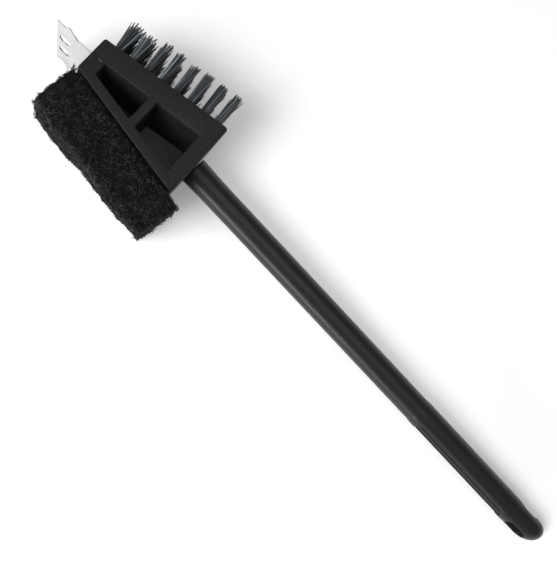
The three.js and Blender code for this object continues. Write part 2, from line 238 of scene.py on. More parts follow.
def roundEdges(obj, width, segments, wanted):
    pick(obj)
    bpy.ops.object.mode_set(mode="EDIT")
    bpy.ops.mesh.select_mode(type="EDGE")
    bpy.ops.mesh.select_all(action="DESELECT")
    bpy.ops.object.mode_set(mode="OBJECT")
    for edge in obj.data.edges:
        a, b = (obj.data.vertices[i].co for i in edge.vertices)
        edge.select = wanted(a, b)
    bpy.ops.object.mode_set(mode="EDIT")
    bpy.ops.mesh.bevel(offset=width, segments=segments, affect="EDGES")
    bpy.ops.object.mode_set(mode="OBJECT")


def softenEdges(obj, width, segments=2, angle=35, clamp=True):
    modifier = obj.modifiers.new("soften", "BEVEL")
    modifier.width = width
    modifier.segments = segments
    modifier.limit_method = "ANGLE"
    modifier.angle_limit = math.radians(angle)
    modifier.use_clamp_overlap = clamp
    pick(obj)
    bpy.ops.object.modifier_apply(modifier=modifier.name)


def smoothShade(obj, angle=30):
    pick(obj)
    bpy.ops.object.shade_smooth_by_angle(angle=math.radians(angle))


def place(obj, matrix):
    obj.data.transform(matrix)
    obj.data.update()


def dress(obj, material):
    obj.data.materials.clear()
    obj.data.materials.append(material)


# ---------- shared effects ----------


def grey(level, tint=(1, 1, 1)):
    return (level * tint[0], level * tint[1], level * tint[2], 1)


def addNode(tree, kind, settings=None, values=None):
    node = tree.nodes.new(kind)
    for key, value in (settings or {}).items():
        setattr(node, key, value)
    for key, value in (values or {}).items():
        node.inputs[key].default_value = value
    return node


def newGroup(name, size, inputs, outputs):
    # every group has a pattern of a given size, laid over the piece's own coordinates
    group = bpy.data.node_groups.new(name, "ShaderNodeTree")
    for label, kind, value in [("Size", "NodeSocketFloat", size)] + inputs:
        socket = group.interface.new_socket(label, in_out="INPUT", socket_type=kind)
        socket.default_value = value
    for label, kind in outputs:
        group.interface.new_socket(label, in_out="OUTPUT", socket_type=kind)
    inlet, outlet = group.nodes.new("NodeGroupInput"), group.nodes.new("NodeGroupOutput")
    coords = addNode(group, "ShaderNodeTexCoord")
    scale = addNode(group, "ShaderNodeMath", {"operation": "DIVIDE"}, {0: 1.0})
    group.links.new(inlet.outputs["Size"], scale.inputs[1])
    return group, inlet.outputs, outlet.inputs, coords.outputs["Object"], scale.outputs[0]


def makeMottle():
    # slow change of colour over a moulded or pressed surface
    group, given, result, coords, scale = newGroup(
        "mottle", 20 * mm, [("Dark", "NodeSocketColor", grey(0)), ("Light", "NodeSocketColor", grey(1))],
        [("Colour", "NodeSocketColor"), ("Mask", "NodeSocketFloat")])
    pattern = addNode(group, "ShaderNodeTexNoise", values={"Detail": 4.0, "Roughness": 0.55})
    mix = addNode(group, "ShaderNodeMix", {"data_type": "RGBA"})
    group.links.new(scale, pattern.inputs["Scale"])
    group.links.new(coords, pattern.inputs["Vector"])
    group.links.new(pattern.outputs["Fac"], mix.inputs["Factor"])
    group.links.new(given["Dark"], mix.inputs["A"])
    group.links.new(given["Light"], mix.inputs["B"])
    group.links.new(mix.outputs["Result"], result["Colour"])
    group.links.new(pattern.outputs["Fac"], result["Mask"])
    return group


def makeGrain():
    # fine spark-eroded grain of a mould, as a height
    group, _, result, coords, scale = newGroup("mouldGrain", 0.6 * mm, [], [("Height", "NodeSocketFloat")])
    fine = addNode(group, "ShaderNodeTexNoise", values={"Detail": 2.0, "Roughness": 0.6})
    pits = addNode(group, "ShaderNodeTexVoronoi", {"feature": "F1"})
    height = addNode(group, "ShaderNodeMath", {"operation": "MULTIPLY_ADD"}, {1: 0.5})
    for pattern in (fine, pits):
        group.links.new(scale, pattern.inputs["Scale"])
        group.links.new(coords, pattern.inputs["Vector"])
    group.links.new(pits.outputs["Distance"], height.inputs[0])
    group.links.new(fine.outputs["Fac"], height.inputs[2])
    group.links.new(height.outputs[0], result["Height"])
    return group


def makeScratches():
    # fine lines along one direction, for brushed metal and handled plastic
    group, given, result, coords, scale = newGroup(
        "fineLines", 0.4 * mm, [("Stretch", "NodeSocketVector", (1, 1, 1))], [("Mask", "NodeSocketFloat")])
    stretch = addNode(group, "ShaderNodeVectorMath", {"operation": "MULTIPLY"})
    lines = addNode(group, "ShaderNodeTexNoise", values={"Detail": 3.0, "Roughness": 0.65})
    group.links.new(coords, stretch.inputs[0])
    group.links.new(given["Stretch"], stretch.inputs[1])
    group.links.new(scale, lines.inputs["Scale"])
    group.links.new(stretch.outputs[0], lines.inputs["Vector"])
    group.links.new(lines.outputs["Fac"], result["Mask"])
    return group


mottle = makeMottle()
mouldGrain = makeGrain()
fineLines = makeScratches()


def newMaterial(name, shaderValues):
    material = bpy.data.materials.new(name)
    material.use_nodes = True
    shader = material.node_tree.nodes["Principled BSDF"]
    for key, value in shaderValues.items():
        shader.inputs[key].default_value = value
    return material, material.node_tree, shader


def useGroup(tree, group, values):
    node = tree.nodes.new("ShaderNodeGroup")
    node.node_tree = group
    for key, value in values.items():
        node.inputs[key].default_value = value
    return node


def addBump(tree, shader, height, strength, distance):
    bump = addNode(tree, "ShaderNodeBump", values={"Strength": strength, "Distance": distance})
    tree.links.new(height, bump.inputs["Height"])
    tree.links.new(bump.outputs["Normal"], shader.inputs["Normal"])


def roughen(tree, shader, mask, low, high):
    # most of a mask's values lie between 0.3 and 0.7
    spread = addNode(tree, "ShaderNodeMapRange",
                     values={"From Min": 0.3, "From Max": 0.7, "To Min": low, "To Max": high})
    tree.links.new(mask, spread.inputs["Value"])
    tree.links.new(spread.outputs["Result"], shader.inputs["Roughness"])


def mottledMaterial(name, shaderValues, size, dark, light):
    material, tree, shader = newMaterial(name, shaderValues)
    colour = useGroup(tree, mottle, {"Size": size, "Dark": dark, "Light": light})
    tree.links.new(colour.outputs["Colour"], shader.inputs["Base Color"])
    return material, tree, shader, colour


def shadedByStrand(name, shaderValues, dark, light, size, dirty, clean):
    # every strand carries its own tone from 0 to 1, painted light: pale strands stand in for lit ones and
    # dark strands for shaded ones; dirt lies over it
    material, tree, shader = newMaterial(name, shaderValues)
    shade = addNode(tree, "ShaderNodeAttribute", {"attribute_name": "shade"})
    own = addNode(tree, "ShaderNodeMix", {"data_type": "RGBA"}, {"A": dark, "B": light})
    dirt = useGroup(tree, mottle, {"Size": size, "Dark": grey(dirty), "Light": grey(clean)})
    colour = addNode(tree, "ShaderNodeMix", {"data_type": "RGBA", "blend_type": "MULTIPLY"}, {"Factor": 1.0})
    tree.links.new(shade.outputs["Fac"], own.inputs["Factor"])
    tree.links.new(own.outputs["Result"], colour.inputs["A"])
    tree.links.new(dirt.outputs["Colour"], colour.inputs["B"])
    tree.links.new(colour.outputs["Result"], shader.inputs["Base Color"])
    return material, tree, shader, dirt


def makeHeadPlastic():
    material, tree, shader, _ = mottledMaterial(
        "mattBlackPlastic", {"Roughness": 0.53, "Specular IOR Level": 0.26},
        size=12 * mm, dark=grey(0.0088, (0.96, 1, 1)), light=grey(0.0118, (0.97, 1, 1.09)))
    grain = useGroup(tree, mouldGrain, {"Size": 0.45 * mm})
    wear = useGroup(tree, fineLines, {"Size": 1.2 * mm, "Stretch": (0.15, 1, 1)})
    roughen(tree, shader, wear.outputs["Mask"], low=0.46, high=0.6)
    addBump(tree, shader, grain.outputs["Height"], strength=0.35, distance=0.06 * mm)
    return material


def makePocketPlastic(name, dark, light):
    # the unpolished inside of the pockets, rougher than the face and a little brown; its colour is lighter
    # than the face's, painted light that stands in for light reaching into the pockets
    material, tree, shader, colour = mottledMaterial(
        name, {"Roughness": 0.7, "Specular IOR Level": 0.45}, size=6 * mm, dark=dark, light=light)
    grain = useGroup(tree, mouldGrain, {"Size": 0.7 * mm})
    roughen(tree, shader, colour.outputs["Mask"], low=0.6, high=0.8)
    addBump(tree, shader, grain.outputs["Height"], strength=0.5, distance=0.1 * mm)
    return material


def makeHandlePlastic():
    material, tree, shader, _ = mottledMaterial(
        "satinBlackPlastic", {"Roughness": 0.35, "Specular IOR Level": 0.3},
        size=25 * mm, dark=grey(0.009), light=grey(0.013, (0.98, 1, 1.03)))
    flow = useGroup(tree, fineLines, {"Size": 1.6 * mm, "Stretch": (0.04, 1, 1)})
    grain = useGroup(tree, mouldGrain, {"Size": 0.3 * mm})
    roughen(tree, shader, flow.outputs["Mask"], low=0.29, high=0.41)
    addBump(tree, shader, grain.outputs["Height"], strength=0.2, distance=0.03 * mm)
    return material


def makePanelPlastic():
    # the finger panel is etched, so it shines less than the rest of the handle
    material, tree, shader, colour = mottledMaterial(
        "etchedBlackPlastic", {"Roughness": 0.6, "Specular IOR Level": 0.3},
        size=8 * mm, dark=grey(0.009), light=grey(0.013))
    grain = useGroup(tree, mouldGrain, {"Size": 0.5 * mm})
    roughen(tree, shader, colour.outputs["Mask"], low=0.55, high=0.7)
    addBump(tree, shader, grain.outputs["Height"], strength=0.6, distance=0.12 * mm)
    return material


def makeSteel():
    material, tree, shader, _ = mottledMaterial(
        "brushedSteel", {"Metallic": 1.0, "Roughness": 0.3},
        size=9 * mm, dark=grey(0.595, (1, 1, 0.99)), light=grey(0.673))
    lines = useGroup(tree, fineLines, {"Size": 0.35 * mm, "Stretch": (1, 1, 0.03)})
    roughen(tree, shader, lines.outputs["Mask"], low=0.24, high=0.4)
    addBump(tree, shader, lines.outputs["Mask"], strength=0.25, distance=0.02 * mm)
    return material


# a rough steel, darkened as painted shade for the tabs' ends that sit in recesses
def makeShadedDullSteel():
    material, tree, shader, colour = mottledMaterial(
        "shadedDullSteel", {"Metallic": 0.4, "Roughness": 0.7}, size=1.5 * mm, dark=grey(0.09), light=grey(0.17))
    roughen(tree, shader, colour.outputs["Mask"], low=0.6, high=0.8)
    return material


def makeNylon():
    # strands range from near-black to pale grey: painted light and shade on the strands
    material, tree, shader, dirt = shadedByStrand(
        "bristleNylon", {"Roughness": 0.4, "Specular IOR Level": 0.5},
        dark=grey(0.006, (0.86, 1, 1.14)), light=grey(0.25, (0.9, 1, 1.1)),
        size=3 * mm, dirty=0.7, clean=1.15)
    ridges = useGroup(tree, fineLines, {"Size": 0.5 * mm, "Stretch": (1, 0.3, 1)})
    roughen(tree, shader, dirt.outputs["Mask"], low=0.34, high=0.5)
    addBump(tree, shader, ridges.outputs["Mask"], strength=0.3, distance=0.05 * mm)
    return material


def makePadFibre():
    # fibres from near-black to pale grey; the pale ones are painted glints
    material, tree, shader, dirt = shadedByStrand(
        "scouringFibre", {"Roughness": 0.6, "Specular IOR Level": 0.4},
        dark=grey(0.0015), light=grey(0.072, (1, 1, 0.98)), size=1.1 * mm, dirty=0.4, clean=1.5)
    roughen(tree, shader, dirt.outputs["Mask"], low=0.5, high=0.75)
    return material


def makePadCore():
    material, tree, shader, _ = mottledMaterial(
        "scouringCore", {"Roughness": 0.95, "Specular IOR Level": 0.15},
        size=0.9 * mm, dark=grey(0.001), light=grey(0.01))
    pits = useGroup(tree, mouldGrain, {"Size": 1.1 * mm})
    addBump(tree, shader, pits.outputs["Height"], strength=1.0, distance=0.6 * mm)
    return material


def makeHookTape():
    material, tree, shader, _ = mottledMaterial(
        "hookTape", {"Roughness": 0.85}, size=1.5 * mm, dark=grey(0.004), light=grey(0.012))
    weave = useGroup(tree, mouldGrain, {"Size": 0.9 * mm})
    addBump(tree, shader, weave.outputs["Height"], strength=0.8, distance=0.25 * mm)
    return material


headPlastic = makeHeadPlastic()
# the pocket walls are painted lighter than the head's face, as painted light
pocketPlastic = makePocketPlastic("roughPocketWallPaintedLight", dark=grey(0.016, (0.97, 1, 0.9)),
                                  light=grey(0.022, (0.98, 1, 0.88)))
# the rear pocket's floor is painted many times lighter than the head's face: painted light standing in for
# light that reaches deep into the pocket
paintedLightFloor = makePocketPlastic("pocketFloorPaintedLight", dark=grey(0.105, (0.96, 1, 0.97)),
                               light=grey(0.13, (0.96, 1, 0.98)))
handlePlastic = makeHandlePlastic()
panelPlastic = makePanelPlastic()
steel = makeSteel()
shadedDullSteel = makeShadedDullSteel()
nylon = makeNylon()
padFibre = makePadFibre()
padCore = makePadCore()
hookTape = makeHookTape()
print("materials made")

# ---------- head ----------

tuftField = {
    "columns": 8,
    "rows": 6,
    "front": 3.85 * mm,  # from the nose, and from the rear face, to the tufts' share of the bristle face
    "rear": 2.85 * mm,
    "edge": 6 * mm,
    "holeRadius": 2.5 * mm,
    "holeDepth": 2.2 * mm,
}
pocketFinishAndPaintedLight = {  # faces of the head that lie deeper than this have the rough finish of the pockets and their painted light
    "fromPadFace": 5 * mm,
    "fromBristleFace": 9 * mm,
    "fromSides": 1.2 * mm,
    "fromNose": 9 * mm,
    "slack": 1 * mm,
}
bladeSizes = {
    "thickness": 0.8 * mm,
    "level": 3.1 * mm,
    "sideWall": 2.4 * mm,
    "reach": 26.9 * mm,
    "skew": 3.2 * mm,
    "tipHalfWidth": 32.3 * mm,
    "nickSetback": 5.3 * mm,
    "nickHalfWidth": 30.5 * mm,
    "earSetback": 9.4 * mm,
    "earHalfWidth": 36 * mm,
    "shoulderSetback": 15.6 * mm,
    "holeRadius": 4.7 * mm,
    "holeSpacing": 18.8 * mm,
    "holeSetback": 6.7 * mm,
    "tang": 8.6 * mm,
    "tabLength": 3.2 * mm,
    "tabRecess": 0.5 * mm,
    "tabRadius": 0.4 * mm,
    "shoulderRadius": 3 * mm,
    "earRadius": 0.8 * mm,
    "nickRadius": 2 * mm,
    "tipRadius": 0.5 * mm,
    "edgeRadius": 0.12 * mm,
    "gap": 0.2 * mm,
}


def pocketCutter(name, x0, x1):
    size = headSizes
    corners = [(x0, padFaceAt(x0) + size["padWall"]), (x1, padFaceAt(x1) + size["padWall"]),
               (x1, bristleFaceAt(x1) - size["bristleWall"]), (x0, bristleFaceAt(x0) - size["bristleWall"])]
    outline = roundedOutline(corners, size["pocketRadius"])
    mouth = size["width"] / 2
    taper = 1 - 2 * size["draft"] / (x1 - x0)
    return prism(name, outline, mouth, size["closedWall"] - mouth, taper)


def tuftPlaces():
    faceLength = (headSizes["length"] + headSizes["rearReach"]) / math.cos(bristleSlope)
    pitch = (faceLength - tuftField["front"] - tuftField["rear"]) / tuftField["columns"]
    rowPitch = (headSizes["width"] - 2 * tuftField["edge"]) / (tuftField["rows"] - 1)
    for column in range(tuftField["columns"]):
        x = tuftField["front"] + (column + 0.5) * pitch
        for row in range(tuftField["rows"]):
            yield column, x, (row - (tuftField["rows"] - 1) / 2) * rowPitch


def roundedIn(radius, depth):
    return radius - math.sqrt(radius ** 2 - (radius - depth) ** 2) if depth < radius else 0


def headRing(z):
    size = headSizes
    depth = size["width"] / 2 - abs(z)
    inset = roundedIn(size["edgeRadius"], depth)
    rear = size["rearReach"] + size["rearDraft"] * (0.5 - z / size["width"])
    rear -= roundedIn(size["rearEdge"], depth)
    corners = [(-size["length"] + inset, -size["noseBelow"] + inset), (rear, padFaceAt(rear) + inset),
               (rear, bristleFaceAt(rear) - inset), (-size["length"] + inset, size["noseTop"] - inset)]
    outline = roundedOutline(corners, size["cornerRadius"] - inset / 2, steps=7)
    return [Vector((point.x, point.y, z)) for point in outline]


def cutBladeSeat(head):
    size = bladeSizes
    side = headSizes["width"] / 2
    front = -headSizes["length"]
    half = size["thickness"] / 2 + size["gap"]
    low, high = size["level"] - half, size["level"] + half
    wide = side - size["sideWall"] + size["gap"]
    back = front + size["tang"] + size["gap"]
    tabFront = back - size["tabLength"] - 2 * size["gap"]
    combine(head, addBox("seatCut", (front - side, low, -wide), (back, high, wide)))
    combine(head, addBox("tabCut", (tabFront, low, -2 * side), (back, high, 2 * side)))


def cutTuftHoles(head):
    toFace = headFrame.inverted() @ bristleFrame
    depth = tuftField["holeDepth"]
    holes = []
    for _, x, z in tuftPlaces():
        hole = addRod("tuftHole", tuftField["holeRadius"], (x, -depth, z), (x, depth, z),
                      turn=(math.pi / 2, 0, 0), sides=20)
        place(hole, toFace)
        holes.append(hole)
    combine(head, joinAll("tuftHoles", holes))


def makeHead():
    size = headSizes
    side = size["width"] / 2
    front = -size["length"]
    last = size["rings"] - 1
    depths = [size["rearEdge"] * (1 - math.cos(math.pi / 2 * k / last)) for k in range(size["rings"])]
    levels = [side - depth for depth in depths]
    head = stackRings("headShell", [headRing(-z) for z in levels] + [headRing(z) for z in reversed(levels)])
    ribFront = front + size["noseWall"] + size["frontPocket"]
    combine(head, pocketCutter("frontPocketCut", front + size["noseWall"], ribFront))
    combine(head, pocketCutter("rearPocketCut", ribFront + size["rib"], -size["rearWall"]))
    cutBladeSeat(head)
    cutTuftHoles(head)
    softenEdges(head, size["softRadius"], segments=3, angle=40)
    smoothShade(head, 35)
    place(head, headFrame)
    dress(head, headPlastic)
    head.data.materials.append(pocketPlastic)
    head.data.materials.append(paintedLightFloor)
    # faces deep in the pockets take the pocket materials, painted lighter than the face as painted light,
    # with the rear pocket's floor lightest of all
    toHead = headFrame.inverted()
    limit = pocketFinishAndPaintedLight
    for face in head.data.polygons:
        spot = toHead @ face.center
        inside = (spot.y - padFaceAt(spot.x) > limit["fromPadFace"]
                  and bristleFaceAt(spot.x) - spot.y > limit["fromBristleFace"]
                  and side - abs(spot.z) > limit["fromSides"])
        if inside and front + limit["fromNose"] < spot.x < -size["rearWall"] + limit["slack"]:
            onFloor = spot.z + side < size["closedWall"] + limit["slack"] and spot.x > ribFront
            face.material_index = 2 if onFloor else 1
    return head


# ---------- handle ----------

handleSizes = {
    "length": 344.2 * mm,
    "radius": 9.1 * mm,
    "rootRadius": 9.6 * mm,
    "rootTaper": 20 * mm,
    "rootGap": 0.4 * mm,  # to the head
    "gripRadius": 9.45 * mm,
    "gripStart": 223.5 * mm,
    "gripLength": 90 * mm,
    "swell": 6 * mm,
    "endAbove": 8.2 * mm,
    "endBelow": 17.2 * mm,
    "tipRise": 2.5 * mm,
    "panelMargin": 2 * mm,
    "panelHeight": 15 * mm,
    "panelEnd": 10 * mm,
    "panelDepth": 1.0 * mm,
    "ribs": 3,
    "ribWidth": 1.1 * mm,
    "ribSink": 0.35 * mm,
    "ribOverrun": 5 * mm,  # how far the ribs, and the rods that round them, are drawn past the panel
    "rodOverrun": 9 * mm,
    "panelSide": 4 * mm,  # the panel's faces lie farther than this to the pad's side
    "cutReach": 20 * mm,  # farther than the handle is thick
    "softRadius": 0.3 * mm,
    "slotLength": 16 * mm,
    "slotHeight": 8.2 * mm,
    "slotRise": 1.6 * mm,
    "slotSetback": 10.6 * mm,
}


def handleSections():
    size = handleSizes
    gripEnd = size["gripStart"] + size["gripLength"]
    sections = []

    def flow(x0, r0, x1, r1, steps):
        for k in range(steps + 1):
            t = k / steps
            ease = t * t * (3 - 2 * t)
            sections.append((x0 + (x1 - x0) * t, r0 + (r1 - r0) * ease, 0))

    flow(headSizes["rearReach"] + size["rootGap"], size["rootRadius"], size["rootTaper"], size["radius"], 8)
    flow(size["gripStart"] - size["swell"], size["radius"], size["gripStart"], size["gripRadius"], 6)
    flow(gripEnd, size["gripRadius"], gripEnd + size["swell"], size["radius"], 6)
    steps = 16
    for k in range(steps):
        fromTip = size["endBelow"] * (1 - math.sin(math.pi / 2 * k / steps))
        aboveShare = math.sqrt(1 - max(0, 1 - fromTip / size["endAbove"]) ** 2)
        belowShare = math.sqrt(1 - max(0, 1 - fromTip / size["endBelow"]) ** 2)
        above = size["tipRise"] + (size["radius"] - size["tipRise"]) * aboveShare
        below = size["tipRise"] - (size["radius"] + size["tipRise"]) * belowShare
        sections.append((size["length"] - fromTip, (above - below) / 2, (above + below) / 2))
    return sections


def turnFlat(obj):
    # from drawn in x and y to standing in x and z
    place(obj, Matrix.Rotation(math.pi / 2, 4, "X"))


def panelCutter():
    size = handleSizes
    length = size["gripLength"] - 2 * size["panelMargin"]
    start = size["gripStart"] + size["panelMargin"]
    outline = slotOutline(start + length / 2, 0, length, size["panelHeight"], size["panelEnd"])
    cutter = prism("panelCut", outline, 0, size["cutReach"])
    turnFlat(cutter)
    over, reach = size["ribOverrun"], size["cutReach"]
    ribs = []
    for i in range(size["ribs"]):
        z = ((i + 1) / (size["ribs"] + 1) - 0.5) * size["panelHeight"]
        ribs.append(addBox("panelRib", (start - over, -reach, z - size["ribWidth"] / 2),
                           (start + length + over, 0, z + size["ribWidth"] / 2)))
    ribs = joinAll("panelRibs", ribs)
    over = size["rodOverrun"]
    rod = {"low": (start - over, 0, 0), "high": (start + length + over, 0, 0),
           "turn": (0, math.pi / 2, 0), "sides": 96}
    combine(ribs, addRod("ribTops", size["gripRadius"] - size["ribSink"], **rod), "INTERSECT")
    combine(cutter, addRod("panelFloor", size["gripRadius"] - size["panelDepth"], **rod))
    combine(cutter, ribs)
    return cutter


def makeHandle():
    size = handleSizes
    handle = growAlong("handleBar", 96, handleSections())
    combine(handle, panelCutter())
    slotX = size["length"] - size["slotSetback"] - size["slotLength"] / 2
    height = size["slotHeight"]
    outline = slotOutline(slotX, size["slotRise"], size["slotLength"], height, endLength=height / 2)
    slot = prism("slotCut", outline, -size["cutReach"], size["cutReach"])
    turnFlat(slot)
    combine(handle, slot)
    softenEdges(handle, size["softRadius"], segments=3, angle=40, clamp=False)
    smoothShade(handle, 30)
    dress(handle, handlePlastic)
    handle.data.materials.append(panelPlastic)
    panelEnd = size["gripStart"] + size["gripLength"] - size["panelMargin"]
    floorRadius = size["gripRadius"] - (size["panelDepth"] + size["ribSink"]) / 2
    for face in handle.data.polygons:
        spot = face.center
        sunk = math.hypot(spot.y, spot.z) < floorRadius
        if sunk and spot.y < -size["panelSide"] and size["gripStart"] < spot.x < panelEnd:
            face.material_index = 1
    place(handle, brushFrame)
    return handle


# ---------- scraper ----------


def bladeSkewAt(z):
    return bladeSizes["skew"] * (0.5 - z / (2 * bladeSizes["tipHalfWidth"]))


def bladeSide(side):
    # the corners from the end of the tang to the tip, each with its radius
    size = bladeSizes
    back = -headSizes["length"] + size["tang"]
    tip = -headSizes["length"] - size["reach"]
    neck = headSizes["width"] / 2 - size["sideWall"]
    tabOut = headSizes["width"] / 2 - size["tabRecess"]
    tabFront = back - size["tabLength"]
    corners = [((x, z), size["tabRadius"]) for x, z in ((back, tabOut), (tabFront, tabOut), (tabFront, neck))]
    edge = ((size["shoulderSetback"], neck, size["shoulderRadius"]),
            (size["earSetback"], size["earHalfWidth"], size["earRadius"]),
            (size["nickSetback"], size["nickHalfWidth"], size["nickRadius"]),
            (0, size["tipHalfWidth"], size["tipRadius"]))
    for setback, z, radius in edge:
        corners.append(((tip + setback + bladeSkewAt(side * z), z), radius))
    return [((x, side * z), radius) for (x, z), radius in corners]


def makeBlade():
    size = bladeSizes
    corners = bladeSide(1) + bladeSide(-1)[::-1]
    outline = roundedOutline([corner for corner, _ in corners], [radius for _, radius in corners])
    half, through = size["thickness"] / 2, 5 * mm
    blade = prism("scraperSheet", outline, -half, half)
    for side in (-1, 1):
        z = side * size["holeSpacing"] / 2
        x = -headSizes["length"] - size["reach"] + size["holeSetback"] + bladeSkewAt(z)
        rod = addRod("bladeHoleCut", size["holeRadius"], (x, z, -through), (x, z, through), sides=64)
        combine(blade, rod)
    softenEdges(blade, size["edgeRadius"], angle=50)
    smoothShade(blade, 30)
    turnFlat(blade)
    place(blade, Matrix.Translation((0, size["level"], 0)))
    place(blade, headFrame)
    dress(blade, steel)
    blade.data.materials.append(shadedDullSteel)
    toHead = headFrame.inverted()
    for face in blade.data.polygons:  # the tabs' ends, sunk in their recesses, take a rough steel whose darker grey is painted shade
        spot = toHead @ face.center
        if spot.x > -headSizes["length"] and abs(spot.z) > headSizes["width"] / 2 - size["sideWall"]:
            face.material_index = 1
    return blade


# ---------- bristles ----------

strandSizes = {
    "perTuft": 34,
    "radius": 0.33 * mm,
    "length": 21.5 * mm,
    "lengthSpread": 2.2 * mm,
    "tuftSpread": 1.8 * mm,  # in length, from tuft to tuft
    "worn": [2.6 * mm, 1.6 * mm],  # off the foremost columns
    "footRadius": 1.95 * mm,
    "footDepth": 1.6 * mm,
    "spread": 1.75,  # of a tuft's tips, as a share of its feet
    "closing": 0.07,  # less spread in each column towards the handle
    "wornSpread": [2.65, 2.35],
    "lean": math.radians(6),
    "leanSpread": 0.03,
    "bend": 1.1 * mm,
    "scatter": 0.8 * mm,  # of the tips
    "stray": 0.05,  # share of strands that stand out
    "strayScatter": 2.2 * mm,
    "thickness": (0.85, 1.1),  # range, as a share of the radius
    "spiralTurn": 2.39996,  # radians from foot to foot, which fills the tuft evenly
    "spiralSpread": 0.2,
    "darkness": 2,  # the power that makes pale strands, painted highlights, rare
    "sides": 6,
    "joints": 6,  # along a strand
    "seed": 11,
}


def strandTemplate():
    # one unit long and of one unit's radius, with a blunt round tip
    steps = strandSizes["joints"]
    sections = [(k / steps, 1.0 if k < steps else 0.8, 0) for k in range(steps + 1)]
    sections.append((1.012, 0.35, 0))
    return growAlong("strand", strandSizes["sides"], sections)


def makeStrand(template, chance, foot, tip, radius, bend):
    # the copy runs from foot to tip and bows a little
    strand = template.copy()
    strand.data = template.data.copy()
    bpy.context.collection.objects.link(strand)
    along = tip - foot
    turn = along.to_track_quat("X", "Z")
    roll = chance.uniform(0, math.pi)
    bow = turn @ Vector((0, math.cos(roll), math.sin(roll))) * bend
    for vertex in strand.data.vertices:
        t = vertex.co.x
        ringPoint = turn @ Vector((0, vertex.co.y * radius, vertex.co.z * radius))
        vertex.co = foot + along * t + ringPoint + bow * (t * t)
    # a random tone per strand, painted light: the few pale strands stand in for strands catching the light,
    # the dark ones for strands in shade
    setShade(strand, chance.random() ** strandSizes["darkness"])
    return strand


def setShade(strand, shade):
    attribute = strand.data.attributes.new("shade", "FLOAT", "POINT")
    for entry in attribute.data:
        entry.value = shade


def makeBristles(template):
    size = strandSizes
    chance = random.Random(size["seed"])
    groups = {}
    for column, x, z in tuftPlaces():
        flare, tuftLength = size["spread"] - size["closing"] * column, size["length"]
        if column < len(size["worn"]):
            flare, tuftLength = size["wornSpread"][column], size["length"] - size["worn"][column]
        lean = math.tan(size["lean"] + chance.uniform(-1, 1) * size["leanSpread"])
        tuftLength += chance.uniform(-0.5, 0.5) * size["tuftSpread"]
        for i in range(size["perTuft"]):
            reach = size["footRadius"] * math.sqrt((i + 0.5) / size["perTuft"])
            angle = i * size["spiralTurn"] + chance.uniform(-1, 1) * size["spiralSpread"]
            dx, dz = reach * math.cos(angle), reach * math.sin(angle)
            length = tuftLength + chance.uniform(-0.5, 0.5) * size["lengthSpread"]
            foot = Vector((x + dx, -size["footDepth"], z + dz))
            tip = Vector((x + dx * flare + length * lean, length, z + dz * flare))
            scatter = size["strayScatter"] if chance.random() < size["stray"] else size["scatter"]
            tip += Vector((chance.uniform(-1, 1), 0, chance.uniform(-1, 1))) * scatter
            radius = size["radius"] * chance.uniform(*size["thickness"])
            bend = size["bend"] * chance.uniform(-1, 1)
            strand = makeStrand(template, chance, foot, tip, radius, bend)
            groups.setdefault(column // 2, []).append(strand)
    rows = []
    for number, strands in groups.items():
        row = joinAll(f"bristleRows{number + 1}", strands)
        smoothShade(row, 50)
        place(row, bristleFrame)
        dress(row, nylon)
        rows.append(row)
    return rows


# ---------- scouring pad ----------

padSizes = {
    "length": 104.2 * mm,
    "overhang": 1.2 * mm,
    "width": 58.4 * mm,
    "thickness": 31.1 * mm,
    "thinFront": 3 * mm,  # loss of thickness towards the closed side of the head
    "thinRear": 9 * mm,
    "slantFront": 2.4 * mm,
    "swell": 1.7 * mm,  # of the outer face, in two waves
    "lift": 1.5 * mm,
    "lowerRound": 8 * mm,
    "outerRound": 4 * mm,
    "innerRound": 2 * mm,
    "voxel": 1.1 * mm,
    "lumps": 0.55 * mm,
    "coarseLumps": (11, 1.2),  # width in mm, and share of the lumps' height
    "fineLumps": (2.3, 1.5),
    "sink": 0.8,  # share of the lumps' height that the whole face sinks
}
fibreSizes = {
    "radius": 0.17 * mm,
    "thickness": (0.7, 1.2),  # ranges, as shares of the radius and of the curl
    "curl": 1.35 * mm,
    "curlRange": (0.6, 1.6),
    "span": (0.8, 2.0),  # radians that a fibre bends round
    "rise": (-0.3, 0.8),  # most arch over the pad, and some ends stand out of it
    "tilt": 0.15,
    "depth": (-0.3, 0.45),  # mm, below and above the face of the pad
    "darkness": 5,  # the power that makes pale fibres, painted glints, rare
    "perClump": 28,
    "clumpKinds": 12,
    "clumpWidth": 4.6 * mm,
    "clumps": 1380,
    "choices": 5,  # of so many places, a clump takes the one farthest from the others
    "hiddenShare": 0.15,  # few are needed where the pad lies against the head
    "hiddenReach": 86 * mm,
    "kindSeed": 100,
    "placeSeed": 5,
}


